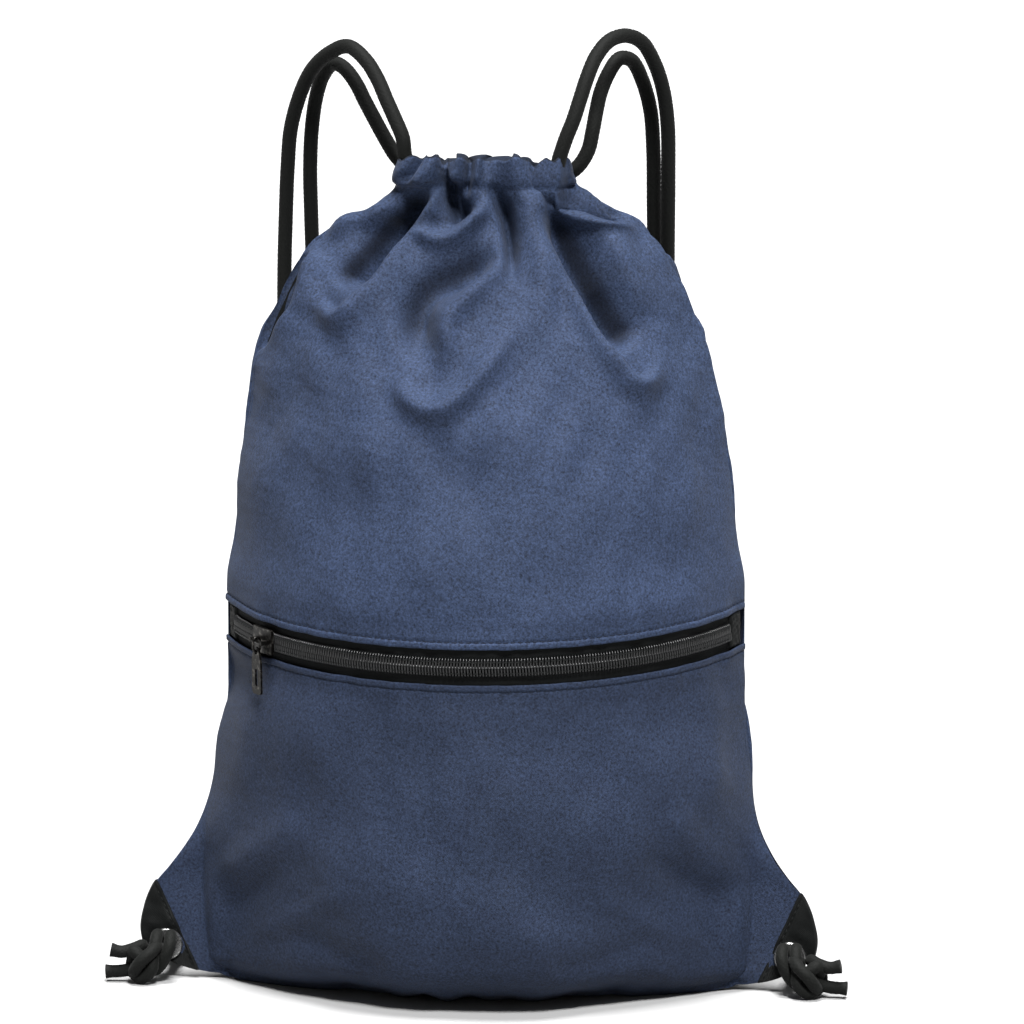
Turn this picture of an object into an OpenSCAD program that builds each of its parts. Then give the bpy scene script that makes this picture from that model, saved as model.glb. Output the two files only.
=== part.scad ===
// Drawstring backpack with a full-width zipped front pocket, filled and standing on its base.
// Origin: centre of the base on the floor. +X to the right seen from the front, -Y to the front, +Z up.

/* [Bag] */
// Share of the standard bulge that the filling gives the front and back
bulge = 1; // [0.9:0.02:1.05]
// Thickness of the body fabric with its coating
cloth_t = 1; // [0.8:0.1:1.2]
// Height of the seam end of the zip above the floor
zip_h = 180; // [176:1:184]
// Forward and downward tilt of the plane of the zip, in degrees
zip_tilt = 5; // [0:1:6]

/* [Casing] */
// Half width of the gathered drawstring casing
casing_half_w = 38; // [37:1:42]
// Height of the drawstring casing
casing_h = 25; // [25:1:28]

/* [Zip] */
// Height of each half of the visible zip tape, measured from the centre line
tape_show = 9; // [8:0.5:10]
// Width of one row of coil teeth
coil_w = 4.2; // [3.8:0.1:4.4]
// Height that the coil stands above its tape
coil_t = 2.4; // [2:0.1:2.6]
// Angle of the slider along the curved track, from the centre of the bag
slider_at = -49; // [-58:1:58]
// Length of the pull tab
tab_len = 21; // [16:1:24]

/* [Corners] */
// Distance of each eyelet from the centre of the bag
eyelet_x = 153; // [152:1:154]
// Height of each eyelet's centre above the floor
eyelet_z = 17; // [16:1:18]
// Radius of the eyelet's hole
eyelet_r = 4.7; // [4.6:0.1:5]
// How far the filled bottom has settled to the left
settle = 4; // [0:0.5:5]

/* [Cord] */
// Diameter of the soft braided cord
cord_d = 7.2; // [6.8:0.1:7.2]

/* [Hidden] */
$fn = 48;

navy = "#3a4763";
black = "#1b1d1d";
steel = "#b9b9b6";
gunmetal = "#3c3b3a";

panel_top = 379;      // where the panels meet the casing
base_depth = 42;      // half depth of the flat base
zip_above = 19;       // the bag is a plain arc from this far above the zip
zip_below = 33;       // to this far below it, so that the slider and its tab run clear
zip_w = 126;          // half width of the bag along the zip
zip_d = 89;           // and its half depth there
slit = 0.6;           // half the gap between the two rows of teeth, for the slider's post
fit = 0.3;            // gap between pieces that only touch
seam_gap = 0.1;       // half the gap between front and back at the seams
patch_t = 0.7;        // thickness of a corner patch
patch_gap = 0.3;      // and its gap from the panel under it
patch_top = 48;       // height of the corner patch at the side seam
patch_foot = 4.2;     // height of its lower corner

// Half width of the bag's outline at each height.
half_widths = [[0, 122], [4, 143], [8, 153.5], [12, 160], [17, 165.5], [24, 166.5], [35, 164.5], [45, 160.5],
               [55, 152.5], [65, 145], [74, 139.5], [84, 135.5], [94, 133], [113, 130.5],
               [zip_h - zip_below, zip_w], [zip_h + zip_above, zip_w], [220, 122.5], [250, 119], [270, 117],
               [288, 114], [307, 111], [327, 103.5], [346, 94.5], [356, 88], [365, 79], [371, 70],
               [375, 58], [panel_top, 44]];
// Half depth of the filled bag at each height.
half_depths = [[0, base_depth], [4, 52], [8, 61], [17, 74], [24, 79], [45, 87], [74, 91],
               [zip_h - zip_below, zip_d], [zip_h + zip_above, zip_d], [220, 87], [250, 83], [270, 79],
               [288, 74], [307, 67], [327, 58], [346, 47], [356, 40], [365, 33], [371, 28],
               [375, 24], [panel_top, 20]];
// Half width of the bulge: less than the outline in the flat ears at the bottom corners.
bulge_widths = [[0, 124], [4, 124], [8, 127.5], [12, 131], [45, 134], [74, 133], [94, 131.5], [113, 130],
                [400, 130]];

function half_w(h) = lookup(h, half_widths);
function half_d(h) = bulge * lookup(h, half_depths);
function smooth(t) = let (c = min(1, max(0, t))) c * c * (3 - 2 * c);
function arc_r(w, d) = (w * w + d * d) / (2 * d);

// Depth of the bulge at a distance x from the centre: a cusped pillow low down, a round arc above.
function pillow(x, h, d) = d * pow(max(0, 1 - pow(x / lookup(h, bulge_widths), 2)), 1.1);
function arch(x, w, d) = let (r = arc_r(w, d)) sqrt(max(0, r * r - x * x)) - (r - d);
function rounding(h) = smooth((h - 50) / 60);
function depth_at(x, h, w, d) = (1 - rounding(h)) * pillow(x, h, d)
    + rounding(h) * arch(min(abs(x), w), w, d);

// How far each row of the front leans forward and down, in degrees.
function lean(h) = zip_tilt * smooth((h - 20) / 60) * smooth((365 - h) / 90);

// How far each row lies to the left of the middle.
function shift(h) = -settle * (1 - smooth((h - 50) / 90));

// A point of the inner face: u runs from the left seam, -1, to the right one, 1.
// Rows with k under 1 lie on the base, between the bottom seam and the base's edge.
// Near the zip the front leans with the zip's tilted axis, except at the side seams.
function inner(u, h, k, inset, tilted) =
    let (w = half_w(h) - inset[0], d = half_d(h) - inset[1], x = w * sin(90 * u),
         y = k * depth_at(x, h, w, d) + seam_gap, a = tilted ? lean(h) : 0,
         push = sin(a) * clamp(h - zip_h, -20, 20) * (1 - pow(x / w, 4)))
    [x + shift(h), -y * cos(a) - push, h + inset[2] - y * sin(a)];

function unit(v) = let (n = norm(v)) n < 1e-9 ? [0, -1, 0] : v / n;
function clamp(x, lo, hi) = min(hi, max(lo, x));

// Outward normals of a grid of points, from its neighbours.
function normals(g) = [for (j = [0 : len(g) - 1]) [for (i = [0 : len(g[0]) - 1])
    let (a = g[j][clamp(i + 1, 0, len(g[0]) - 1)] - g[j][clamp(i - 1, 0, len(g[0]) - 1)],
         b = g[clamp(j + 1, 0, len(g) - 1)][i] - g[clamp(j - 1, 0, len(g) - 1)][i])
    unit(cross(a, b))]];
function shifted(g, n, t) = [for (j = [0 : len(g) - 1])
    [for (i = [0 : len(g[0]) - 1]) let (p = g[j][i] + n[j][i] * t) [p[0], p[1], max(0, p[2])]]];

// A closed shell between two grids of points with the same rows and columns.
module sheet(near, far) {
    rows = len(near);
    cols = len(near[0]);
    total = rows * cols;
    points = [for (r = near) each r, for (r = far) each r];
    function a(j, i) = j * cols + i;
    function b(j, i) = total + a(j, i);
    function quad(p, q, r, s) = [[p, q, r], [p, r, s]];
    top = rows - 1;
    end = cols - 1;
    faces = [for (j = [0 : rows - 2]) for (i = [0 : cols - 2]) each concat(
                 quad(a(j, i), a(j, i + 1), a(j + 1, i + 1), a(j + 1, i)),
                 quad(b(j, i), b(j + 1, i), b(j + 1, i + 1), b(j, i + 1))),
             for (i = [0 : cols - 2]) each concat(
                 quad(a(0, i), b(0, i), b(0, i + 1), a(0, i + 1)),
                 quad(a(top, i), a(top, i + 1), b(top, i + 1), b(top, i))),
             for (j = [0 : rows - 2]) each concat(
                 quad(a(j, 0), a(j + 1, 0), b(j + 1, 0), b(j, 0)),
                 quad(a(j, end), b(j, end), b(j + 1, end), a(j + 1, end)))];
    polyhedron(points, faces);
}

// Rows of a panel as [height, share of the base's depth].
base_rows = [[0, 0], [0, 0.35], [0, 0.7], [0, 1]];
low_rows = [for (h = [4, 8, 12, 17, 24, 35, 45, 55, 65, 74, 84, 94, 113, zip_h - zip_below]) [h, 1]];
high_rows = [for (h = [zip_h + zip_above, 220, 250, 270, 288, 307, 327, 346, 356, 365, 371, 375,
                       panel_top - 2 * cloth_t - fit]) [h, 1]];
across = [for (i = [-12 : 12]) i / 12];

module panel(rows, tilted = true) {
    grid = [for (r = rows) [for (u = across) inner(u, r[0], r[1], [cloth_t, cloth_t, cloth_t], tilted)]];
    sheet(grid, shifted(grid, normals(grid), cloth_t));
}

module eyelet_holes(r) {
    for (side = [-1, 1])
        translate([side * eyelet_x - settle, 0, eyelet_z]) rotate([90, 0, 0])
            cylinder(r = r, h = 12, center = true);
}

module front_upper_panel() {
    color(navy) panel(concat([[zip_h + tape_show - cloth_t, 1]], high_rows));
}

module front_lower_panel() {
    color(navy) difference() {
        panel(concat(base_rows, low_rows, [[zip_h - tape_show - cloth_t, 1]]));
        eyelet_holes(eyelet_r + 1);
    }
}

module back_panel() {
    color(navy) difference() {
        mirror([0, 1, 0]) panel(concat(base_rows, low_rows, high_rows), tilted = false);
        eyelet_holes(eyelet_r + 1);
    }
}

// The inner wall of the front pocket, sewn in at the sides and just above the zip.
lining_in = 14;     // how far it lies behind the front at the middle
lining_top_in = 3.6;  // and at its top edge
lining_side = 8;    // how far its edges lie inside the side seams
lining_t = 0.6;
module pocket_lining() {
    rows = concat([[0, 0.15], [0, 0.5], [0, 1]], [for (h = [8, 17, 35, 55, 74, 94, 113, zip_h - zip_below,
                  zip_h - 8, zip_h + 4, zip_h + 17]) [h, 1]]);
    grid = [for (r = rows)
        let (side = lining_side + max(0, half_w(r[0]) - lookup(r[0], bulge_widths)),
             in = lining_in + (lining_top_in - lining_in) * smooth((r[0] - zip_h + 8) / 25))
        [for (i = [-10 : 10]) inner(i / 10, r[0], r[1], [side, in, 3.2], true)]];
    color(navy) sheet(grid, shifted(grid, normals(grid), lining_t));
}

// Drawstring casing: the folded and stitched top hem, as a channel that is open at both ends.
// Each side's cord runs right round it. It comes out high at its own end, where only the casing's outer
// wall stands, and turns low at the other end.
casing_wall = 1;
lane_in = 8;        // the left cord's distance from the middle of the neck
lane_out = 15.8;    // the right cord's
exit_x = 24;        // distance of a cord's way out from the middle of the neck
exit_z = 394.5;     // and its height
casing_out = lane_out + cord_d / 2 + fit + casing_wall;
casing_in = lane_in - cord_d / 2 - fit - casing_wall;
hem_t = 2;          // thickness of the channel's top and bottom, where the cloth is folded and stitched
turn_z = panel_top + hem_t + fit + cord_d / 2;  // height of a cord where it turns at the far end
module casing() {
    deep = casing_out - casing_in;
    centre = [-casing_half_w, -(casing_out + casing_in) / 2, panel_top + casing_h / 2];
    color(navy) difference() {
        translate(centre) rotate([90, 0, 90])
            linear_extrude(2 * casing_half_w) difference() {
                rounded_rect(deep, casing_h, 5);
                rounded_rect(deep - 2 * casing_wall, casing_h - 2 * hem_t, 4);
            }
        for (side = [-1, 1]) {
            translate([side * (exit_x + 11), 0, turn_z]) cube([16, 12, cord_d + 1], center = true);
            translate([side * (exit_x + 10), 0, turn_z + cord_d / 2 + 10])
                cube([20, 2 * (casing_out - casing_wall), 20], center = true);
        }
    }
}
module rounded_rect(w, h, r) {
    hull() for (x = [-1, 1], y = [-1, 1]) translate([x * (w / 2 - r), y * (h / 2 - r)]) circle(r, $fn = 32);
}
module front_casing() casing();
module back_casing() mirror([0, 1, 0]) casing();

// Bound seam allowances inside the bag.
binding_w = 5;
binding_t = 1.2;
module side_binding(side) {
    rows = [113, zip_h - zip_below, zip_h + zip_above, 220, 250, 270, 288, 307, 327, 346, 356];
    function edge(h, x) = side * (half_w(h) - 2.4 - x) + shift(h);
    function strip(y) = [for (h = rows) [for (x = [0, binding_w]) [edge(h, x), y, h]]];
    color(black) sheet(strip(-side * binding_t / 2), strip(side * binding_t / 2));
}
module bottom_binding() {
    color(black) translate([-120 - settle, -binding_t / 2, cloth_t + fit])
        cube([240, binding_t, binding_w]);
}

// Zip: everything on it turns about one tilted axis, because the track is a round arc.
track_d = bulge * zip_d - cloth_t;          // depth of the panel's inner face along the zip
track_r = arc_r(zip_w - cloth_t, track_d);
tape_t = 0.8;
tape_out = track_r - 0.8;                   // outer face of the tape
tape_half = 12;                             // the tape runs on behind the panels
track_end = 69;                             // angle of the tape's ends
teeth_end = 64;                             // and of the teeth's ends
module zip_frame() {
    translate([0, 0, zip_h]) rotate([zip_tilt, 0, 0]) translate([0, track_r - track_d, 0]) children();
}
// A band of the track between two radii, two heights and two angles from the front of the bag.
module band(r0, r1, z0, z1, a0, a1) {
    rotate([0, 0, a0 - 90]) rotate_extrude(angle = a1 - a0, $fn = 180)
        translate([r0, z0]) square([r1 - r0, z1 - z0]);
}
module tape(up) {
    color(black) zip_frame() mirror([0, 0, up ? 0 : 1])
        band(tape_out - tape_t, tape_out, slit, tape_half, -track_end, track_end);
}
module coil(up) {
    color(black) zip_frame() mirror([0, 0, up ? 0 : 1])
        rotate([0, 0, -teeth_end - 90]) rotate_extrude(angle = 2 * teeth_end, $fn = 180)
            translate([tape_out + 0.03, slit]) rounded_tooth();
}
module rounded_tooth() {
    corner = 0.8;
    hull() {
        square([0.5, coil_w]);
        for (y = [corner, coil_w - corner]) translate([coil_t - corner, y]) circle(corner, $fn = 24);
    }
}
module zip_end_tab(side) {
    color(black) zip_frame() mirror([side < 0 ? 1 : 0, 0, 0])
        band(tape_out + 0.1, tape_out + 1.1, -tape_show + fit, tape_show - fit, teeth_end + 0.3, track_end);
}

// Slider: two plates joined by the post that parts the teeth.
plate_in = tape_out - tape_t - 0.3;         // outer radius of the plate behind the tape
plate_out = tape_out + coil_t + 0.35;       // inner radius of the plate in front of the teeth
plate_t = 1.5;
plate_half_deg = 3.3;                       // about 15 mm long
plate_half_h = 6.2;
module slider_frame() zip_frame() rotate([0, 0, slider_at]) children();
module plate(inner, outer) band(inner, outer, -plate_half_h, plate_half_h, -plate_half_deg, plate_half_deg);
module slider_body() {
    color(gunmetal) slider_frame() {
        difference() {
            union() {
                plate(plate_in - 1.2, plate_in);
                plate(plate_out, plate_out + plate_t);
            }
            // The plates narrow towards the closed end.
            for (up = [-1, 1]) translate([9.5, -plate_out, up * (plate_half_h + 1.6)])
                rotate([0, up * 18, 0]) cube([14, 20, 5], center = true);
        }
        band(plate_in - 0.4, plate_out + 0.4, -0.3, 0.3, -plate_half_deg + 0.3, -0.6);
    }
}
// Bridge: an arch along the top of the slider that holds the link. Its feet are let into the front plate.
bridge_r = 0.9;
bridge_half = 4.6;
bridge_foot = 1.9;                          // width of each square foot
bridge_out = plate_out + plate_t;           // outer face of the front plate
bridge_rise = 3.1;                          // height of its bar's centre above the plate
module slider_bridge() {
    sunk = 0.4;
    color(gunmetal) slider_frame() translate([0, -bridge_out, 0]) {
        translate([-bridge_half, -bridge_rise, 0]) rotate([0, 90, 0])
            cylinder(r = bridge_r, h = 2 * bridge_half);
        for (x = [-1, 1]) translate([x * bridge_half, (sunk - bridge_rise - bridge_foot / 2) / 2, 0])
            cube([bridge_foot, bridge_rise + bridge_foot / 2 + sunk, bridge_foot], center = true);
    }
}
// Link: a ring round the bridge; the tab hangs in its lower end.
link_wire = 0.6;
link_r = 1.9;                               // radius of its round ends
link_drop = 3.2;                            // distance between the centres of its ends
pivot_y = bridge_out + bridge_rise;         // the link turns about the bridge's bar
module pull_link() {
    color(gunmetal) slider_frame() translate([0, -pivot_y, 0]) rotate([0, 90, 0]) {
        for (x = [0, link_drop]) translate([x, 0, 0]) rotate([0, 0, x > 0 ? -90 : 90])
            rotate_extrude(angle = 180) translate([link_r, 0]) circle(link_wire, $fn = 24);
        for (y = [-1, 1]) translate([0, y * link_r, 0]) rotate([0, 90, 0])
            cylinder(r = link_wire, h = link_drop, $fn = 24);
    }
}
// Pull tab: a flat tongue with a round eye at its top.
tab_w = 7.6;
tab_t = 1.1;
eye_r = 1.25;
tab_drop = link_drop + link_r;              // height of the lower wire below the bridge's bar
module pull_tab() {
    eye_wall = 1.2;
    color(gunmetal) slider_frame() translate([0, -pivot_y + tab_t / 2, -tab_drop]) rotate([90, 0, 0])
        difference() {
            union() {
                cylinder(r = eye_r + eye_wall, h = tab_t);
                linear_extrude(tab_t) hull() {
                    circle(eye_r + eye_wall);
                    translate([-tab_w / 2, -7]) square([tab_w, 2]);
                }
                linear_extrude(tab_t) hull() {
                    translate([-tab_w / 2, -7]) square([tab_w, 1]);
                    for (x = [-1, 1]) translate([x * (tab_w / 2 - 1.6), -tab_len + 1.6]) circle(1.6);
                }
            }
            translate([0, 0, -1]) cylinder(r = eye_r, h = tab_t + 2);
            // Slot in the tongue.
            hull() for (y = [-9.5, -tab_len + 5]) translate([0, y, -1]) cylinder(r = 1.1, h = tab_t + 2);
        }
}

// Corner patch: a flat black plate over the ear, on each face, with a straight edge towards the bag.
module corner_patch(side) {
    heights = [patch_foot, 8, 12, 17, 24, 35, 45, patch_top];
    outline = [for (h = heights) [half_w(h) - cloth_t - 0.2, h + cloth_t]];
    color(black) difference() {
        translate([-settle, -0.1 - cloth_t - patch_gap, 0]) mirror([side < 0 ? 1 : 0, 0, 0])
            rotate([90, 0, 0]) linear_extrude(patch_t) polygon(outline);
        eyelet_holes(eyelet_r + 1);
    }
}
module corner_patch_front_right() corner_patch(1);
module corner_patch_front_left() corner_patch(-1);
module corner_patch_back_right() mirror([0, 1, 0]) corner_patch(1);
module corner_patch_back_left() mirror([0, 1, 0]) corner_patch(-1);

// Eyelet: a rolled flange and barrel in front, and a washer behind.
flange_w = 3.2;
flange_t = 1.3;
flange_y = 0.1 + cloth_t + patch_gap + patch_t + 0.1;   // outer face of the stack of cloth
barrel_t = 0.6;
module eyelet(side) {
    color(steel) translate([side * eyelet_x - settle, 0, eyelet_z]) rotate([90, 0, 0]) {
        rotate_extrude() {
            translate([eyelet_r, -flange_y - flange_t]) square([barrel_t, 2 * (flange_y + flange_t)]);
            translate([eyelet_r, flange_y]) intersection() {
                translate([flange_w / 2, 0]) circle(flange_w / 2);
                square([flange_w, flange_t]);
            }
        }
    }
}
module eyelet_washer(side) {
    color(steel) translate([side * eyelet_x - settle, 0, eyelet_z]) rotate([-90, 0, 0])
        rotate_extrude() translate([eyelet_r + barrel_t + 0.05, flange_y])
            square([flange_w - barrel_t, 0.9]);
}

// Knot: both strands of a cord come through the eyelet and are tied together in front, with two tails.
module knot(side) {
    back = 4.2;
    front = -flange_y - flange_t - 9;
    plug_r = eyelet_r - 0.4;
    centre = [eyelet_x + 8, front, 10.6];
    function tail(dir, from, long) = [centre + from, unit(dir), long];
    tails = [tail([24, -5, 4], [2, -3, 1], 24), tail([24, 3, -5], [2, 3, -1], 21)];
    color(black) translate([-settle, 0, 0]) mirror([side < 0 ? 1 : 0, 0, 0]) {
        translate([eyelet_x, back, eyelet_z]) rotate([90, 0, 0]) cylinder(r = plug_r, h = back - front);
        translate([eyelet_x, front, eyelet_z]) sphere(plug_r);
        translate(centre) {
            sphere(8);
            rotate([60, 0, 50]) rotate_extrude() translate([6.2, 0]) circle(3.6, $fn = 32);
        }
        for (t = tails) translate(t[0]) rotate([0, acos(t[1][2]), atan2(t[1][1], t[1][0])])
            cylinder(r = cord_d / 2, h = t[2], $fn = 32);
    }
}

// Cord routes: round numbers chosen by hand, from the casing's mouth over the loop, down behind the bag,
// round the slack that lies on the floor and up to the back of the eyelet.
left_front = [[-24, -8, 394.5], [-30, -8, 396], [-35, -8.5, 400], [-37.5, -9, 407], [-38.5, -9, 415],
              [-42.5, -7, 424], [-47, -4, 433], [-51.5, 0, 442], [-58, 5, 451], [-67.5, 13, 457],
              [-78, 22, 453], [-87, 30, 445], [-93.5, 37, 434], [-100, 45, 415], [-102.5, 50, 395],
              [-104, 53, 370], [-105, 54, 340], [-105, 54, 240], [-105, 54, 90], [-105, 57, 50],
              [-105.5, 63, 24], [-105, 75, 9], [-106.5, 90, 4], [-109, 105, 3.7], [-115.5, 116, 3.7],
              [-126.5, 120, 3.7], [-136, 114, 3.7], [-142.5, 102, 3.7], [-146, 86, 3.7], [-149, 68, 3.7],
              [-152, 48, 3.7], [-155.5, 34, 6], [-157, 22, 10.5], [-157, 12, 13.3], [-157, 4.2, 13.3]];
left_back = [[-24, 8, 394.5], [-31, 8, 395.5], [-38, 8.5, 399], [-44, 9.5, 404.5], [-49, 11, 412],
             [-54.5, 14, 421], [-60, 18, 430], [-65, 22, 438.5], [-71, 27.5, 445], [-77.5, 35, 447],
             [-83.5, 42, 441], [-88, 49, 430], [-91, 54, 414], [-92.5, 58, 394], [-92.5, 61, 370],
             [-92, 63, 340], [-91.5, 64, 240], [-91.5, 64, 90], [-91.5, 66, 50], [-92, 73, 24], [-92, 86, 9],
             [-92.5, 102, 4], [-95, 118, 3.7], [-102.5, 130, 3.7], [-114, 135, 3.7], [-127, 134, 3.7],
             [-139.5, 127, 3.7], [-148, 114, 3.7], [-152.5, 98, 3.7], [-156, 80, 3.7], [-159, 60, 6],
             [-161, 45, 10], [-160.5, 31, 15.5], [-158, 20, 19.5], [-157, 12, 20.7], [-157, 4.2, 20.7]];
right_front = [[24, -15.8, 394.5], [30, -16, 396], [35.5, -16, 401], [38, -16, 408.5], [40.5, -15.5, 416],
               [44, -14, 425], [47, -11, 435], [50, -7, 445], [53.5, -1, 454], [59, 7, 461],
               [66, 16, 463], [73, 25, 459.5], [78, 34, 450], [82, 42, 436], [84, 48, 418],
               [84, 53, 393], [83.5, 58, 367], [83, 63, 340], [82.5, 68, 240], [82.5, 68, 90], [82.5, 69, 50],
               [83, 75, 24], [83, 88, 9], [83.5, 103, 4], [85, 116, 3.7], [91.5, 127, 3.7],
               [102, 131, 3.7], [112.5, 127, 3.7], [122, 116, 3.7], [128.5, 102, 3.7], [133, 86, 3.7],
               [137, 68, 3.7], [141, 48, 3.7], [146, 34, 6], [149, 22, 10.5], [149, 12, 13.3],
               [149, 4.2, 13.3]];
right_back = [[24, 15.8, 394.5], [31, 16, 394.5], [38, 17, 396], [43.5, 18, 400], [48, 19, 407.5],
              [50, 20, 416.5], [51.5, 22, 425.5], [53.5, 24, 435], [57, 28, 444], [61.5, 34, 450.5],
              [67, 42, 449], [71.5, 49, 439], [75, 55, 424], [76, 61, 404], [76, 65, 380],
              [76, 69, 345], [75.5, 74, 240], [75.5, 74, 90], [75.5, 76, 50], [76, 83, 24], [76, 97, 9],
              [75.5, 112, 4], [78, 128, 3.7], [85.5, 139, 3.7], [97, 144, 3.7], [111, 143, 3.7],
              [123.5, 137, 3.7], [134, 126, 3.7], [140.5, 109, 3.7], [144, 90, 3.7], [147, 66, 5],
              [150, 48, 9], [151.5, 33, 14.5], [150, 21, 19.3], [149, 12, 20.7], [149, 4.2, 20.7]];

// A tube swept along points, with rings turned as little as possible from one to the next.
function tangent(p, i) = unit(p[min(i + 1, len(p) - 1)] - p[max(i - 1, 0)]);
function carried(p, i, side) = i == 0 ? unit(cross(tangent(p, 0), [0.3, 0.2, 1])) :
    let (t = tangent(p, i), s = side - t * (side * t)) unit(s);
function frames(p, i = 0, side = [1, 0, 0]) = i >= len(p) ? [] :
    let (s = carried(p, i, side)) concat([[p[i], s, cross(tangent(p, i), s)]], frames(p, i + 1, s));
module tube(p, r, sides = 8) {
    rings = frames(p);
    points = [for (f = rings) for (k = [0 : sides - 1]) let (a = 360 * k / sides)
        f[0] + r * (cos(a) * f[1] + sin(a) * f[2])];
    n = len(p);
    faces = concat([[for (k = [0 : sides - 1]) k]],
        [for (i = [0 : n - 2]) for (k = [0 : sides - 1]) let (l = (k + 1) % sides)
            each [[i * sides + k, (i + 1) * sides + k, (i + 1) * sides + l],
                  [i * sides + k, (i + 1) * sides + l, i * sides + l]]],
        [[for (k = [sides - 1 : -1 : 0]) (n - 1) * sides + k]]);
    color(black) polyhedron(points, faces);
}
// The stretch inside the casing: in on one face of the neck, round the far end and back on the other.
module tunnel(side, lane) {
    turn_x = casing_half_w - fit - lane - cord_d / 2;
    straight = 4;
    function way_in(y) = [[-exit_x, y, exit_z], [-exit_x + straight, y, exit_z]];
    bend = [for (a = [-90 : 22.5 : 90]) [turn_x + lane * cos(a), lane * sin(a), turn_z]];
    mirror([side > 0 ? 1 : 0, 0, 0])
        tube(concat(way_in(-lane), bend, [for (i = [1, 0]) way_in(lane)[i]]), cord_d / 2);
}

front_upper_panel();
front_lower_panel();
back_panel();
pocket_lining();
front_casing();
back_casing();
side_binding(-1);  // side_binding_left
side_binding(1);  // side_binding_right
bottom_binding();
tape(true);  // zip_tape_upper
tape(false);  // zip_tape_lower
coil(true);  // zip_coil_upper
coil(false);  // zip_coil_lower
zip_end_tab(-1);  // zip_end_tab_left
zip_end_tab(1);  // zip_end_tab_right
slider_body();
slider_bridge();
pull_link();
pull_tab();
corner_patch_front_left();
corner_patch_front_right();
corner_patch_back_left();
corner_patch_back_right();
eyelet(-1);  // eyelet_left
eyelet(1);  // eyelet_right
eyelet_washer(-1);  // eyelet_washer_left
eyelet_washer(1);  // eyelet_washer_right
tube(left_front, cord_d / 2);  // cord_left_front
tube(left_back, cord_d / 2);  // cord_left_back
tube(right_front, cord_d / 2);  // cord_right_front
tube(right_back, cord_d / 2);  // cord_right_back
tunnel(-1, lane_in);  // cord_tunnel_left
tunnel(1, lane_out);  // cord_tunnel_right
knot(-1);  // knot_left
knot(1);  // knot_right
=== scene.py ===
"""Looks of a drawstring backpack, filled and standing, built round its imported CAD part.

The tables hold millimetres, as the CAD source does. Meshes are made in metres.
"""

import math

import bpy
import numpy as np
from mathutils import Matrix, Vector


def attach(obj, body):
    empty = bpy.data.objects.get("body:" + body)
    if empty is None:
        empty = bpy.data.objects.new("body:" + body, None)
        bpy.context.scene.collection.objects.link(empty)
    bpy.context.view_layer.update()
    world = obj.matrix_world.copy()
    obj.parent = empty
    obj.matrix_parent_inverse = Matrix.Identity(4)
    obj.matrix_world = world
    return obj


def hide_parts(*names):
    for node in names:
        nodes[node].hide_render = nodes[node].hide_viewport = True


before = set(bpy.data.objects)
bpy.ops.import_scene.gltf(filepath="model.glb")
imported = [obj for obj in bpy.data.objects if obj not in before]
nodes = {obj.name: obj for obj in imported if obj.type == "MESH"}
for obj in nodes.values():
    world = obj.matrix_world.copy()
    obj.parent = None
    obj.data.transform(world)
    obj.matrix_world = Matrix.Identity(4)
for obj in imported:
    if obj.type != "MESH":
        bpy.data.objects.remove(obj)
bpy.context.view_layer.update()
MM = 0.001

# ---------------------------------------------------------------- camera and view angles

AZIMUTH = math.radians(6)
ELEVATION = math.radians(8.5)
VIEW_WIDTH = 491.5  # millimetres across the picture at the object
VIEW_CENTRE = (15.2, -20, 236.6)
VIEW_DISTANCE = 3.0


def look_from(azimuth, elevation):
    """Unit vector from the object towards a viewer."""
    return Vector((
        math.sin(azimuth) * math.cos(elevation),
        -math.cos(azimuth) * math.cos(elevation),
        math.sin(elevation),
    ))


def add_camera():
    """The camera that the table above describes, level from side to side."""
    data = bpy.data.cameras.new("camera")
    camera = bpy.data.objects.new("camera", data)
    bpy.context.scene.collection.objects.link(camera)
    away = look_from(AZIMUTH, ELEVATION)
    camera.location = Vector(VIEW_CENTRE) * MM + away * VIEW_DISTANCE
    camera.rotation_euler = away.to_track_quat("Z", "Y").to_euler()
    data.sensor_width = 36
    data.lens = data.sensor_width * VIEW_DISTANCE / (VIEW_WIDTH * MM)
    data.clip_end = 20
    bpy.context.scene.camera = camera


def seen_at(points):
    """Where points lie across and up the front view, in millimetres, the height undone for its slope."""
    x, y, z = points[..., 0], points[..., 1], points[..., 2]
    across = x * math.cos(AZIMUTH) + y * math.sin(AZIMUTH)
    away = y * math.cos(AZIMUTH) - x * math.sin(AZIMUTH)
    return across, z + math.tan(ELEVATION) * away


# ---------------------------------------------------------------- small tools

def smooth(t):
    """0 below 0, 1 above 1, and a soft step between."""
    t = np.clip(t, 0, 1)
    return t * t * (3 - 2 * t)


def mix(a, b, t):
    return a + (b - a) * t


def unit(v):
    return v / np.maximum(np.linalg.norm(v, axis=-1, keepdims=True), 1e-12)


def table_curve(table, h):
    """Smooth curve through a table's points that doesn't overshoot between them."""
    x, y = (np.array(c, float) for c in zip(*table))
    step = np.diff(x)
    slope = np.diff(y) / step
    bend = np.zeros(len(x))
    bend[0], bend[-1] = slope[0], slope[-1]
    same = slope[:-1] * slope[1:] > 0
    inner = np.where(same, 2 * slope[:-1] * slope[1:] / np.where(same, slope[:-1] + slope[1:], 1), 0)
    bend[1:-1] = inner
    h = np.clip(np.asarray(h, float), x[0], x[-1])
    i = np.clip(np.searchsorted(x, h) - 1, 0, len(step) - 1)
    t = (h - x[i]) / step[i]
    return (
        y[i] * (1 + 2 * t) * (1 - t) ** 2
        + bend[i] * step[i] * t * (1 - t) ** 2
        + y[i + 1] * t * t * (3 - 2 * t)
        + bend[i + 1] * step[i] * t * t * (t - 1)
    )


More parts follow.
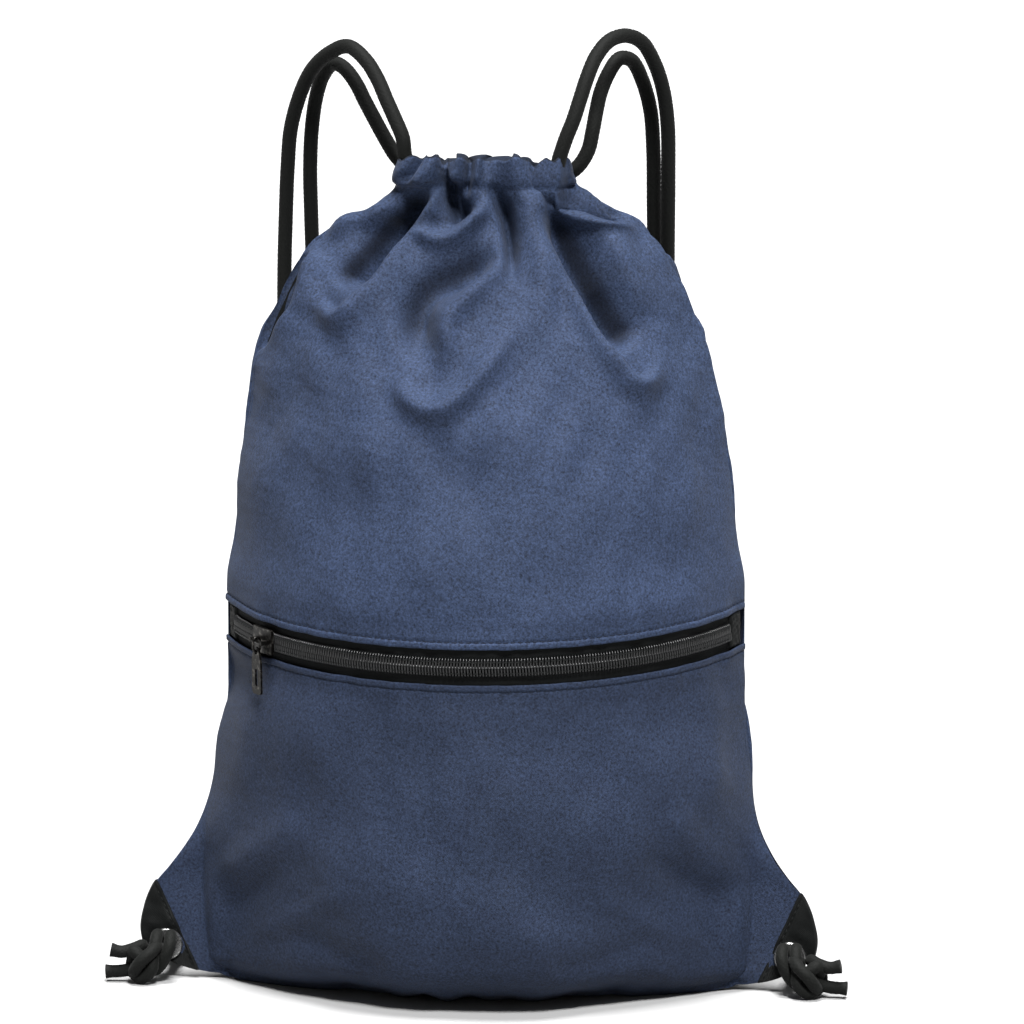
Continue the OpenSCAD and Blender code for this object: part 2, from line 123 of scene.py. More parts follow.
def through(points, spacing):
    """Evenly spaced points along a smooth curve through the given ones, with its arc lengths."""
    p = np.array(points, float)
    ends = np.vstack([2 * p[0] - p[1], p, 2 * p[-1] - p[-2]])
    fine = []
    for a, b, c, d in zip(ends[:-3], ends[1:-2], ends[2:-1], ends[3:]):
        k0, k1, k2 = (max(1e-6, np.linalg.norm(v)) ** 0.5 for v in (b - a, c - b, d - c))
        m1 = (c - b) + k1 * ((b - a) / k0 - (c - a) / (k0 + k1))
        m2 = (c - b) + k1 * ((d - c) / k2 - (d - b) / (k1 + k2))
        t = np.linspace(0, 1, 24, endpoint=False)[:, None]
        fine.append(
            b * (1 + 2 * t) * (1 - t) ** 2 + m1 * t * (1 - t) ** 2
            + c * t * t * (3 - 2 * t) + m2 * t * t * (t - 1)
        )
    fine = np.vstack([*fine, p[-1:]])
    length = np.concatenate([[0], np.cumsum(np.linalg.norm(np.diff(fine, axis=0), axis=1))])
    at = np.linspace(0, length[-1], max(2, round(length[-1] / spacing)) + 1)
    return np.stack([np.interp(at, length, fine[:, k]) for k in range(p.shape[1])], axis=1), at


def make_mesh(name, points, faces, material, uv=None, shade_smooth=True, painted_crease_shade=None):
    """A mesh object from points in millimetres; the crease value is how deep each point lies in a fold, from
    0 to 1, and darkens the cloth's colour there as painted shade.
    """
    data = bpy.data.meshes.new(name)
    data.from_pydata((np.asarray(points).reshape(-1, 3) * MM).tolist(), [], faces)
    data.materials.append(material)
    if uv is not None:
        layer = data.uv_layers.new(name="lengths")
        index = np.zeros(len(data.loops), int)
        data.loops.foreach_get("vertex_index", index)
        layer.data.foreach_set("uv", (np.asarray(uv).reshape(-1, 2)[index] * MM).ravel())
    if painted_crease_shade is not None:
        data.attributes.new("painted_crease_shade", "FLOAT", "POINT").data.foreach_set("value", np.asarray(painted_crease_shade).ravel())
    data.polygons.foreach_set("use_smooth", [shade_smooth] * len(data.polygons))
    data.update()
    obj = bpy.data.objects.new(name, data)
    bpy.context.scene.collection.objects.link(obj)
    return obj


def grid_faces(rows, columns, round_columns=False, flip=False):
    """Four-sided faces between neighbouring points; round_columns joins the last column to the first."""
    faces = []
    for j in range(rows - 1):
        for i in range(columns if round_columns else columns - 1):
            k = (i + 1) % columns
            quad = [j * columns + i, j * columns + k, (j + 1) * columns + k, (j + 1) * columns + i]
            faces.append(quad[::-1] if flip else quad)
    return faces


def lengths_on(grid):
    """Arc lengths across and up a grid, for materials that follow the cloth."""
    across = np.cumsum(np.linalg.norm(np.diff(grid, axis=1, prepend=grid[:, :1]), axis=2), axis=1)
    across = across - across[:, [grid.shape[1] // 2]]
    middle = grid[:, grid.shape[1] // 2]
    up = np.cumsum(np.linalg.norm(np.diff(middle, axis=0, prepend=middle[:1]), axis=1))
    return np.stack([across, np.broadcast_to(up[:, None], across.shape)], axis=2)


def grid_mesh(name, grid, material, flip=False, painted_crease_shade=None):
    """A mesh object from rows and columns of points, with lengths along the cloth for its material."""
    rows, columns = grid.shape[:2]
    faces = grid_faces(rows, columns, flip=flip)
    return make_mesh(name, grid, faces, material, lengths_on(grid), painted_crease_shade=painted_crease_shade)


def normals_of(grid):
    """Unit normals of a grid's points."""
    return unit(np.cross(np.gradient(grid, axis=1), np.gradient(grid, axis=0)))


def finish_piece(obj, body, slot, *replaced):
    """Says which body a piece rides on and which CAD nodes it stands for; slot is not used."""
    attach(obj, body)
    if replaced:
        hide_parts(*replaced)
    return obj


# ---------------------------------------------------------------- materials

def linear(r, g, b):
    """Scene colour of a screen colour given as three numbers up to 255."""
    return tuple(
        c / 12.92 if c <= 0.04045 else ((c + 0.055) / 1.055) ** 2.4
        for c in (v / 255 for v in (r, g, b))
    ) + (1,)


class Shader:
    """A material whose nodes are added by short calls."""

    def __init__(self, name, inputs):
        self.material = bpy.data.materials.new(name)
        self.material.use_nodes = True
        self.tree = self.material.node_tree
        self.surface = self.tree.nodes["Principled BSDF"]
        for key, value in inputs.items():
            self.surface.inputs[key].default_value = value

    def node(self, kind, settings=(), **inputs):
        """A new node; an input is given by its name, or by its number after an underscore."""
        made = self.tree.nodes.new(kind)
        for key, value in settings:
            setattr(made, key, value)
        for key, value in inputs.items():
            socket = made.inputs[int(key[1:])] if key[1:].isdigit() else made.inputs[key]
            if isinstance(value, bpy.types.NodeSocket):
                self.tree.links.new(value, socket)
            else:
                socket.default_value = value
        return made

    def link(self, output, name):
        self.tree.links.new(output, self.surface.inputs[name])

    def lengths(self):
        return self.node("ShaderNodeUVMap", [("uv_map", "lengths")]).outputs[0]

    def place(self):
        return self.node("ShaderNodeTexCoord").outputs["Object"]

    def noise(self, where, scale, detail=2, roughness=0.5):
        return self.node("ShaderNodeTexNoise", Vector=where, Scale=scale, Detail=detail,
                         Roughness=roughness).outputs[0]

    def maths(self, operation, a, b=0.0):
        return self.node("ShaderNodeMath", [("operation", operation)], _0=a, _1=b).outputs[0]

    def spread(self, value, low, high):
        """value from 0 to 1 mapped to low to high."""
        return self.node("ShaderNodeMapRange", Value=value, **{"To Min": low, "To Max": high}).outputs[0]

    def blend(self, share, a, b):
        made = self.node("ShaderNodeMix", [("data_type", "RGBA")])
        for socket, value in ((0, share), (6, a), (7, b)):
            if isinstance(value, bpy.types.NodeSocket):
                self.tree.links.new(value, made.inputs[socket])
            else:
                made.inputs[socket].default_value = value
        return made.outputs[2]

    def bump(self, height, distance, before=None):
        """A normal raised by height, on top of the one before it."""
        inputs = {"Height": height, "Distance": distance}
        if before is not None:
            inputs["Normal"] = before
        return self.node("ShaderNodeBump", **inputs).outputs[0]


PAINTED_CREASE_SHADE = 0.75  # painted shade: how far the cloth's colour goes towards a darker tone at the bottom of a fold


def woven(name, light, dark, thread, roughness, sheen):
    """Plain-woven cloth: crossing threads, uneven dye and a soft nap, with painted shade that darkens its
    colour down in a fold.
    """
    # the darker colour painted as shade down in the folds
    crease_shade_colour = tuple(0.4 * c for c in dark[:3]) + (1,)
    s = Shader(name, {"Sheen Weight": sheen, "Sheen Roughness": 0.45, "Specular IOR Level": 0.1})
    uv = s.lengths()
    split = s.node("ShaderNodeSeparateXYZ", Vector=uv)
    warp = s.maths("SINE", s.maths("MULTIPLY", split.outputs[0], 2 * math.pi / thread))
    weft = s.maths("SINE", s.maths("MULTIPLY", split.outputs[1], 2 * math.pi / thread))
    weave = s.maths("MULTIPLY", warp, weft)
    place = s.place()
    grain = s.noise(place, 850, 3, 0.8)
    cloud = s.noise(place, 14, 3, 0.55)
    base = s.blend(s.spread(grain, -0.75, 1.75), dark, light)
    base = s.blend(s.spread(cloud, -0.1, 0.3), base, dark)
    # painted shade: the mesh's value for how deep a point lies in a fold darkens the colour
    painted_crease_shade = s.node("ShaderNodeAttribute", [("attribute_name", "painted_crease_shade")]).outputs["Fac"]
    base = s.blend(s.maths("MULTIPLY", painted_crease_shade, PAINTED_CREASE_SHADE), base, crease_shade_colour)
    s.link(base, "Base Color")
    s.link(s.spread(grain, roughness - 0.1, roughness + 0.12), "Roughness")
    relief = s.bump(weave, 0.00006)
    relief = s.bump(grain, 0.00012, before=relief)
    relief = s.bump(s.noise(uv, 60, 2, 0.5), 0.0003, before=relief)
    s.link(relief, "Normal")
    return s.material


def braided(name, light, dark):
    """Braided or twisted fibre; its strands are in the mesh."""
    s = Shader(name, {"Roughness": 0.72, "Sheen Weight": 0.02, "Specular IOR Level": 0.1})
    place = s.place()
    fibre = s.noise(place, 1500, 3, 0.7)
    base = s.blend(s.spread(fibre, -0.2, 1.2), dark, light)
    base = s.blend(s.spread(s.noise(place, 40, 2), 0, 0.4), base, dark)
    s.link(base, "Base Color")
    s.link(s.bump(fibre, 0.00015), "Normal")
    return s.material


def metal(name, colour, worn, roughness):
    """Painted or plated metal that has rubbed through to a lighter tone in places."""
    s = Shader(name, {"Metallic": 0.9})
    place = s.place()
    wear = s.noise(place, 420, 4, 0.65)
    rubbed = s.node("ShaderNodeMapRange", Value=wear, **{"From Min": 0.52, "From Max": 0.7}).outputs[0]
    s.link(s.blend(rubbed, colour, worn), "Base Color")
    s.link(s.spread(s.noise(place, 900, 3), roughness - 0.12, roughness + 0.16), "Roughness")
    s.link(s.bump(s.noise(place, 1600, 3), 0.00003), "Normal")
    return s.material


def nylon(name, colour, roughness):
    """Smooth moulded or drawn nylon, slightly uneven in tone."""
    s = Shader(name, {"Specular IOR Level": 0.4})
    place = s.place()
    s.link(s.blend(s.noise(place, 500, 2), colour, linear(10, 10, 11)), "Base Color")
    s.link(s.spread(s.noise(place, 1200, 2), roughness - 0.08, roughness + 0.12), "Roughness")
    s.link(s.bump(s.noise(place, 2500, 2), 0.00002), "Normal")
    return s.material


navy = woven("navy_cloth", linear(52, 65, 92), linear(16, 21, 31), 0.0007, 0.65, 0.02)
# painted shade: a darker copy of the navy cloth for the front below the zip, whose real cloth is the same
# colour as above
painted_shade_navy = woven("navy_cloth_painted_shade", linear(44, 55, 78), linear(14, 18, 27), 0.0007, 0.65, 0.02)
lining = woven("lining_cloth", linear(27, 33, 47), linear(20, 24, 35), 0.0006, 0.7, 0.02)
tape_black = woven("tape_black", linear(11, 13, 13), linear(5, 6, 7), 0.0009, 0.7, 0.01)
patch_black = woven("patch_black", linear(9, 11, 11), linear(5, 6, 6), 0.0009, 0.6, 0.01)
cord_black = braided("cord_black", linear(15, 16, 15), linear(5, 6, 5))
navy_thread = braided("navy_thread", linear(31, 38, 54), linear(17, 21, 31))
black_thread = braided("black_thread", linear(16, 18, 18), linear(7, 8, 8))
teeth_black = nylon("teeth_black", linear(20, 21, 22), 0.3)
slider_metal = metal("slider_metal", linear(24, 23, 22), linear(90, 88, 84), 0.36)
eyelet_metal = metal("eyelet_metal", linear(112, 112, 112), linear(200, 200, 198), 0.24)

# ---------------------------------------------------------------- cords

CORD_D = 7.2
EYELET_X = 153
EYELET_Z = 17
SETTLE = 4  # how far the filled bottom has settled to the left

# The routes of the CAD source: from the casing over the loop, down behind the bag, round the slack and up.
CORD_ROUTES = {
    "cord_left_front": [
        [-24, -8, 394.5], [-30, -8, 396], [-35, -8.5, 400], [-37.5, -9, 407], [-38.5, -9, 415],
        [-42.5, -7, 424], [-47, -4, 433], [-51.5, 0, 442], [-58, 5, 451], [-67.5, 13, 457],
        [-78, 22, 453], [-87, 30, 445], [-93.5, 37, 434], [-100, 45, 415], [-102.5, 50, 395],
        [-104, 53, 370], [-105, 54, 340], [-105, 54, 240], [-105, 54, 90], [-105, 57, 50],
        [-105.5, 63, 24], [-105, 75, 9], [-106.5, 90, 4], [-109, 105, 3.7], [-115.5, 116, 3.7],
        [-126.5, 120, 3.7], [-136, 114, 3.7], [-142.5, 102, 3.7], [-146, 86, 3.7], [-149, 68, 3.7],
        [-152, 48, 3.7], [-155.5, 34, 6], [-157, 22, 10.5], [-157, 12, 13.3], [-157, 4.2, 13.3]],
    "cord_left_back": [
        [-24, 8, 394.5], [-31, 8, 395.5], [-38, 8.5, 399], [-44, 9.5, 404.5], [-49, 11, 412],
        [-54.5, 14, 421], [-60, 18, 430], [-65, 22, 438.5], [-71, 27.5, 445], [-77.5, 35, 447],
        [-83.5, 42, 441], [-88, 49, 430], [-91, 54, 414], [-92.5, 58, 394], [-92.5, 61, 370],
        [-92, 63, 340], [-91.5, 64, 240], [-91.5, 64, 90], [-91.5, 66, 50], [-92, 73, 24], [-92, 86, 9],
        [-92.5, 102, 4], [-95, 118, 3.7], [-102.5, 130, 3.7], [-114, 135, 3.7], [-127, 134, 3.7],
        [-139.5, 127, 3.7], [-148, 114, 3.7], [-152.5, 98, 3.7], [-156, 80, 3.7], [-159, 60, 6],
        [-161, 45, 10], [-160.5, 31, 15.5], [-158, 20, 19.5], [-157, 12, 20.7], [-157, 4.2, 20.7]],
    "cord_right_front": [
        [24, -15.8, 394.5], [30, -16, 396], [35.5, -16, 401], [38, -16, 408.5], [40.5, -15.5, 416],
        [44, -14, 425], [47, -11, 435], [50, -7, 445], [53.5, -1, 454], [59, 7, 461],
        [66, 16, 463], [73, 25, 459.5], [78, 34, 450], [82, 42, 436], [84, 48, 418],
        [84, 53, 393], [83.5, 58, 367], [83, 63, 340], [82.5, 68, 240], [82.5, 68, 90], [82.5, 69, 50],
        [83, 75, 24], [83, 88, 9], [83.5, 103, 4], [85, 116, 3.7], [91.5, 127, 3.7],
        [102, 131, 3.7], [112.5, 127, 3.7], [122, 116, 3.7], [128.5, 102, 3.7], [133, 86, 3.7],
        [137, 68, 3.7], [141, 48, 3.7], [146, 34, 6], [149, 22, 10.5], [149, 12, 13.3],
        [149, 4.2, 13.3]],
    "cord_right_back": [
        [24, 15.8, 394.5], [31, 16, 394.5], [38, 17, 396], [43.5, 18, 400], [48, 19, 407.5],
        [50, 20, 416.5], [51.5, 22, 425.5], [53.5, 24, 435], [57, 28, 444], [61.5, 34, 450.5],
        [67, 42, 449], [71.5, 49, 439], [75, 55, 424], [76, 61, 404], [76, 65, 380],
        [76, 69, 345], [75.5, 74, 240], [75.5, 74, 90], [75.5, 76, 50], [76, 83, 24], [76, 97, 9],
        [75.5, 112, 4], [78, 128, 3.7], [85.5, 139, 3.7], [97, 144, 3.7], [111, 143, 3.7],
        [123.5, 137, 3.7], [134, 126, 3.7], [140.5, 109, 3.7], [144, 90, 3.7], [147, 66, 5],
        [150, 48, 9], [151.5, 33, 14.5], [150, 21, 19.3], [149, 12, 20.7], [149, 4.2, 20.7]],
}


def rings_along(path):
    """Side and up vectors that turn as little as possible along a path."""
    tangent = unit(np.gradient(path, axis=0))
    side = np.cross(tangent[0], [0.31, 0.2, 1])
    sides = []
    for t in tangent:
        side = side - t * np.dot(side, t)
        side = side / np.linalg.norm(side)
        sides.append(side)
    sides = np.array(sides)
    return sides, np.cross(tangent, sides)


BRAID_CARRIERS = 10  # strands that go each way round a cord
BRAID_LAY = 2.3  # length of cord over which they move on by one place


def braid_relief(angle, along):
    """Height, from 0 to 1, of a round braid of strands that pass over and under each other."""
    a = BRAID_CARRIERS * angle / (2 * math.pi) + along / BRAID_LAY
    b = BRAID_CARRIERS * angle / (2 * math.pi) - along / BRAID_LAY
    over = (np.floor(a) + np.floor(b)) % 2 == 0
    return np.where(over, np.sin(math.pi * (a % 1)), np.sin(math.pi * (b % 1))) ** 0.7


def tube_parts(path, along, radius, sides, relief=0.1):
    """Points and faces of a braided tube with closed ends; radius is one number or one for each ring."""
    side, up = rings_along(path)
    angle = np.arange(sides) * 2 * math.pi / sides
    radius = np.broadcast_to(np.asarray(radius, float), len(path))
    height = braid_relief(angle[None, :], along[:, None])
    r = (radius[:, None] * (1 - relief + relief * height))[..., None]
    rings = path[:, None] + r * (np.cos(angle)[None, :, None] * side[:, None]
                                 + np.sin(angle)[None, :, None] * up[:, None])
    points = np.vstack([rings.reshape(-1, 3), path[:1], path[-1:]])
    faces = grid_faces(len(path), sides, round_columns=True, flip=True)
    last = (len(path) - 1) * sides
    faces += [[i, (i + 1) % sides, len(points) - 2] for i in range(sides)]
    faces += [[last + (i + 1) % sides, last + i, len(points) - 1] for i in range(sides)]
    return points, faces


def joined(parts):
    """One list of points and one of faces from several."""
    points, faces, count = [], [], 0
    for p, f in parts:
        points.append(p)
        faces += [[count + i for i in face] for face in f]
        count += len(p)
    return np.vstack(points), faces


def add_cords():
    """The shoulder cords, from the channel to the eyelets."""
    for name, route in CORD_ROUTES.items():
        path, along = through(route, 0.7)
        points, faces = tube_parts(path, along, CORD_D / 2, 40)
        obj = make_mesh(f"{name}_braid", points, faces, cord_black)
        finish_piece(obj, "bag", "cord_braid", name)


# Half of each cord's run inside the channel, from its exit to its far turn; y is measured from the middle.
TUNNELS = {
    "cord_tunnel_left": [[-24.5, 8, 394.5], [-16, 6, 393], [-8, 4, 391], [0, 2.8, 389.5], [8, 3.2, 388],
                         [16, 5.5, 386.5], [24, 6, 386], [28, 4, 386], [30, 0, 386]],
    "cord_tunnel_right": [[24.5, 15.8, 394.5], [17, 11, 393.5], [8, 9, 391], [0, 8.3, 389.5], [-8, 8, 388],
                          [-16, 7, 386.5], [-24, 6, 386], [-28, 4, 386], [-30, 0, 386]],
}
TUNNEL_SQUEEZE = 0.75


def add_tunnel_cords():
    """The stretch of each cord inside the channel, squeezed by the gathers."""
    for name, half in TUNNELS.items():
        back = np.array(half, float)
        front = back * np.array([1, -1, 1])
        path, along = through(np.vstack([front, back[-2::-1]]), 0.8)
        points, faces = tube_parts(path, along, CORD_D / 2 * TUNNEL_SQUEEZE, 32)
        finish_piece(make_mesh(f"{name}_braid", points, faces, cord_black), "bag", "cord_braid", name)


# ---------------------------------------------------------------- shape of the bag

CLOTH_T = 1
ZIP_H = 180
ZIP_TILT = math.radians(5)
ZIP_W = 126
ZIP_D = 89
TAPE_SHOW = 9
NECK_H = 390.5  # the row of stitches under the drawstring channel
CHANNEL_ROWS = 14
FRONT_TOP = 405  # where the cloth turns over at the top of the channel
BACK_TOP = 400

# Half widths and depths of the bag by height, as in the CAD source.
LOW_WIDTHS = [
    [0, 118], [4, 143], [8, 153.5], [12, 160], [17, 165.5], [24, 166.5], [35, 164.5], [45, 160.5],
    [55, 152.5], [65, 145], [74, 139.5], [84, 135.5], [94, 133], [113, 130.5], [147, ZIP_W], [199, ZIP_W],
    [220, 122.5], [250, 119]]
LEFT_WIDTHS = LOW_WIDTHS + [
    [270, 117.5], [288, 115], [302, 113.5], [312, 110.5], [322, 107], [332, 101.5], [342, 97], [352, 91.5],
    [366, 79], [371, 71.5], [378, 57], [384, 46], [NECK_H, 40.5]]
RIGHT_WIDTHS = LOW_WIDTHS + [
    [270, 117], [288, 113.5], [302, 110.5], [312, 107.5], [322, 104], [332, 100.5], [342, 96.5], [354, 89.5],
    [368, 79], [375, 70], [381, 60], [386, 50], [NECK_H, 41.5]]
DEPTHS = [
    [0, 36], [3, 46], [7, 58], [17, 74], [24, 79], [45, 87], [74, 91], [147, ZIP_D], [199, ZIP_D], [220, 87],
    [250, 83], [270, 79], [288, 74], [307, 67], [327, 58], [346, 47], [356, 40], [365, 33.5], [371, 29.5],
    [378, 26], [384, 23.5], [NECK_H, 22]]
# Half widths of the filled part low down, inside the flat ears.
BULGE_WIDTHS = [[0, 124], [4, 124], [8, 127.5], [12, 131], [45, 134], [74, 133], [94, 131.5], [113, 130],
                [400, 130]]


def settled(h):
    """How far each row lies to the left of the middle."""
    return -SETTLE * (1 - smooth((h - 50) / 90))


def half_width(u, h):
    return np.where(u < 0, table_curve(LEFT_WIDTHS, h), table_curve(RIGHT_WIDTHS, h))


def bag_surface(u, h, share=1.0, tilted=True):
    """The inner face of the front at u from -1 to 1 and height h, as the CAD source has it.

    share is under 1 on the base, between the bottom seam and the base's edge.
    """
    u, h, share = np.broadcast_arrays(u, h, share)
    w = half_width(u, h) - CLOTH_T
    d = table_curve(DEPTHS, h) - CLOTH_T
    x = w * np.sin(math.pi / 2 * u)
    pillow = d * np.maximum(0, 1 - (x / table_curve(BULGE_WIDTHS, h)) ** 2) ** 1.1
    radius = (w * w + d * d) / (2 * d)
    arch = np.sqrt(np.maximum(0, radius**2 - x * x)) - (radius - d)
    box = d * np.sqrt(np.maximum(0, 1 - np.abs(x / w) ** 4))
    depth = mix(mix(pillow, arch, smooth((h - 50) / 60)), box, smooth((h - 368) / 20))
    y = share * depth + 0.1
    lean = ZIP_TILT * smooth((h - 20) / 60) * smooth((365 - h) / 90) * tilted
    push = np.sin(lean) * np.clip(h - ZIP_H, -20, 20) * (1 - (x / w) ** 4)
    return np.stack([x + settled(h), -y * np.cos(lean) - push, h + CLOTH_T - y * np.sin(lean)], axis=-1)


# ---------------------------------------------------------------- folds

def fold(points, height, west, east, fade=(0.2, 0.35), power=2.0):
    """A ridge, or a valley if height is negative, along a line drawn downwards over the front view.

    points lie across and up the front view; west and east are its half widths on either side, and fade
    the shares of its length over which it rises at its start and dies away at its end.
    """
    line, along = through(points, 3)

    def relief(across, up):
        a, b = line[:-1], line[1:]
        ab = b - a
        p = np.stack([across, up], axis=-1)[..., None, :]
        t = np.clip(((p - a) * ab).sum(-1) / (ab * ab).sum(-1), 0, 1)
        off = p - (a + t[..., None] * ab)
        squared = (off * off).sum(-1)
        nearest = squared.argmin(-1)
        pick = np.take_along_axis
        index = nearest[..., None]
        distance = np.sqrt(pick(squared, index, -1)[..., 0])
        cross = pick(ab[..., 0] * off[..., 1] - ab[..., 1] * off[..., 0], index, -1)[..., 0]
        where = (along[nearest] + pick(t, index, -1)[..., 0] * (along[1] - along[0])) / along[-1]
        width = np.where(cross > 0, east, west)
        strength = smooth(where / max(fade[0], 1e-6)) * smooth((1 - where) / max(fade[1], 1e-6))
        return height * strength * np.exp(-(distance / width) ** power)

    return relief


def ripples(wavelength, seed, count=14, stretch=1.0):
    """Soft random unevenness with about the given wavelength; stretch over 1 makes it run up and down."""
    rng = np.random.default_rng(seed)
    turn = rng.uniform(0, math.pi, count)
    size = 2 * math.pi / wavelength * rng.uniform(0.7, 1.5, count)
    phase = rng.uniform(0, 2 * math.pi, count)

    def relief(across, up):
        waves = [np.sin(k * (across * math.cos(t) + up * math.sin(t) / stretch) + f)
                 for t, k, f in zip(turn, size, phase)]
        return sum(waves) / math.sqrt(count / 2)

    return relief


# Folds near the gathered neck.
NECK_FOLDS = [
    # pleats of the channel, from left to right
    fold([[-36, 406], [-37, 397], [-40, 389]], 2.5, 3.5, 3.5, (0.01, 0.3)),
    fold([[-29, 407], [-32, 399], [-37, 392]], -5, 2, 2, (0.01, 0.3)),
    fold([[-19, 406], [-19.5, 398], [-18, 390]], -7, 2, 1.8, (0.01, 0.3)),
    fold([[-12, 406], [-13.5, 398], [-16, 389]], 2.5, 2, 2, (0.01, 0.3)),
    fold([[-7, 406], [-8, 396], [-9, 384]], -6, 1.8, 1.8, (0.01, 0.3)),
    fold([[-2.5, 406], [-3, 398], [-4, 390]], 2.5, 1.6, 1.6, (0.01, 0.3)),
    fold([[23, 406], [24.5, 396], [27, 387]], -8, 2, 2.4, (0.01, 0.3)),
    fold([[29, 405], [30, 394], [32, 387]], 3, 1.4, 1.4, (0.01, 0.4)),
    fold([[33, 405], [33.5, 393]], -3, 1.4, 1.4, (0.01, 0.4)),
    fold([[37.5, 405], [37.5, 393]], 2.4, 3, 3, (0.01, 0.3)),
    # the left valley between its two ridges
    fold([[-22, 404], [-28, 395], [-33, 389.5], [-52, 377.5], [-69, 371], [-81, 364]],
         5, 4, 4, (0.01, 0.25)),
    fold([[-26, 392], [-38, 379], [-51, 364], [-62, 352], [-71, 342]], -15, 6, 6, (0.2, 0.16), 2.1),
    fold([[-17, 392], [-22, 385], [-32, 372], [-44, 355], [-55, 338], [-69, 326], [-77, 333], [-82, 343]],
         5.5, 3, 6, (0.05, 0.2)),
    # the front's edge at the left shoulder, with the back's cloth dark beyond it
    fold([[-82, 363], [-84.5, 350], [-89, 336], [-99, 323], [-109, 312]], 4, 1.6, 7),
    fold([[-86, 362], [-90, 348], [-95, 336], [-105, 323], [-115, 311]], -9, 6, 3.2, (0.2, 0.3), 2.6),
    # the hollow in the middle and its rim
    fold([[-15, 395], [-17, 387], [-13, 379], [-10, 373]], -13, 5, 6, (0.25, 0.2), 2.2),
    fold([[-14, 392], [-14, 385], [-12, 377]], 2.6, 1.2, 1.2),
    fold([[-34, 371], [-30, 365.5], [-22, 363], [-11, 367], [-4, 374], [1, 382], [1, 389]], 5.5, 3, 4.5),
    # the narrow valley beside the middle ridge, and the broad one that leaves it to the left
    fold([[3, 394], [6, 386], [10, 377], [12.5, 366], [13, 354], [12, 338]], -10, 3.4, 3.2, (0.3, 0.4), 2.1),
    fold([[8, 361], [-9, 350], [-25, 342], [-32, 332], [-33, 318], [-28, 298]], -12, 9, 8, (0.2, 0.35), 2.2),
    fold([[11, 358], [-3, 340], [-16, 325], [-18, 309], [-22, 292]], 5.5, 5, 5),
    fold([[-43, 306], [-39, 292], [-25, 281], [-10, 289], [6, 309], [19, 333]], 6.5, 6, 6, (0.25, 0.4)),
    # the middle ridge, its sharp right edge and the deep valley beyond
    fold([[14, 405], [17, 392], [20, 377], [26, 353], [30, 338], [30, 318]], 5.5, 6, 6, (0.01, 0.45)),
    fold([[24, 392], [28, 379], [35, 361], [43.5, 339], [52, 321], [61, 306], [72, 295], [80, 299],
          [83, 311]], 5.5, 6, 2.4, (0.1, 0.2)),
    fold([[27, 388], [32, 375], [40, 357], [49, 341], [59, 324], [69, 309]], -17, 5, 9.5, (0.3, 0.14), 2.1),
    fold([[38, 388], [51, 372], [63, 354], [75, 334], [84, 318]], 4, 5, 9),
    # the valley along the right shoulder between its two ridges
    fold([[36, 394], [53, 386.5], [68, 379], [79, 371]], 3.5, 3, 4, (0.1, 0.3)),
    fold([[34, 389], [46, 382.5], [58, 378], [69, 374]], -9, 3.6, 4.2, (0.2, 0.25), 2.2),
    fold([[29, 385], [38, 377], [47, 373], [66, 370.5], [78, 367]], 4.5, 4, 2.6),
]
# Pulls of the filled bottom: creases that start at the ears and the base.
LOW_FOLDS = [
    fold([[-88, 88], [-112, 66], [-142, 46]], 2.2, 8, 8),
    fold([[-84, 68], [-110, 50], [-136, 34]], -2, 6, 7),
    fold([[-60, 52], [-92, 36], [-122, 22]], 2, 7, 6),
    fold([[84, 92], [106, 66], [134, 44]], 2.2, 8, 8),
    fold([[74, 70], [100, 50], [128, 32]], -2, 7, 6),
    fold([[50, 50], [84, 32], [112, 18]], 2, 6, 7),
    fold([[-95, 30], [-66, 17], [-40, 12]], -1.8, 6, 6),
    fold([[28, 12], [56, 16], [86, 28]], -1.8, 6, 6),
    fold([[-118, 150], [-114, 120], [-122, 92]], 1.6, 9, 12),
    fold([[112, 150], [110, 118], [116, 88]], 1.4, 12, 9),
]
NECK_DEPTH = 1.15
broad = ripples(78, 3)
middling = ripples(26, 5, stretch=1.6)
small = ripples(9, 8)
pucker = ripples(13, 11, stretch=6)


def front_relief(across, up):
    """How far the front cloth stands out from the plain filled shape."""
    high = smooth((up - 225) / 60)
    relief = sum(f(across, up) for f in NECK_FOLDS) * NECK_DEPTH + sum(f(across, up) for f in LOW_FOLDS)
    relief = relief + 0.9 * broad(across, up) + (0.25 + 0.35 * high) * middling(across, up)
    return relief + (0.045 + 0.05 * high) * small(across, up)


def back_relief(across, up):
    """The back's folds: the front's, mirrored and shallower."""
    return 0.75 * front_relief(-across * 0.97 + 2, up)


def crease_shade_amount(grid, side=1):
    """How deep each point lies in the folds near the neck, from 0 to 1, which paints shade into the cloth's
    colour there.
    """
    across, up = seen_at(grid) if side > 0 else (2 - 0.97 * grid[..., 0], grid[..., 2])
    return smooth((-3 - sum(f(across, up) for f in NECK_FOLDS)) / 13)


# ---------------------------------------------------------------- cloth of the bag

MIN_DEPTH = 3  # no fold reaches nearer than this to the middle of the bag
EAR_HEIGHT = 70
EAR_START = 128  # how far from the middle the flat ears leave the filled part
HEM_STEPS = np.array([0, 0.5, 1, 1.5, 2, 2.5, 3, 3.5, 4.2, 5])  # close rows beside a hem's edge
# How far a hem's turned cloth goes inwards and back from its edge.
HEM_TURN = [(0.45, -0.45), (1.0, -0.3), (1.35, 1), (1.4, 7)]
BASE_SHARES = (0, 0.25, 0.5, 0.7, 0.85, 0.95)  # rows on the base, from the bottom seam outwards
BASE_STEPS = (0, 0.4, 0.9, 1.5, 2.2, 3, 4, 5)  # close rows above the base's edge
# Columns of a panel, closer together near its side seams.
U = np.sin(np.linspace(-1, 1, 221) * math.pi / 2 * 0.999) * 0.35 + np.linspace(-1, 1, 221) * 0.65
NEAR_SEAM = smooth((1 - np.abs(U)) / 0.05)  # 0 at the side seams, where front and back are sewn together


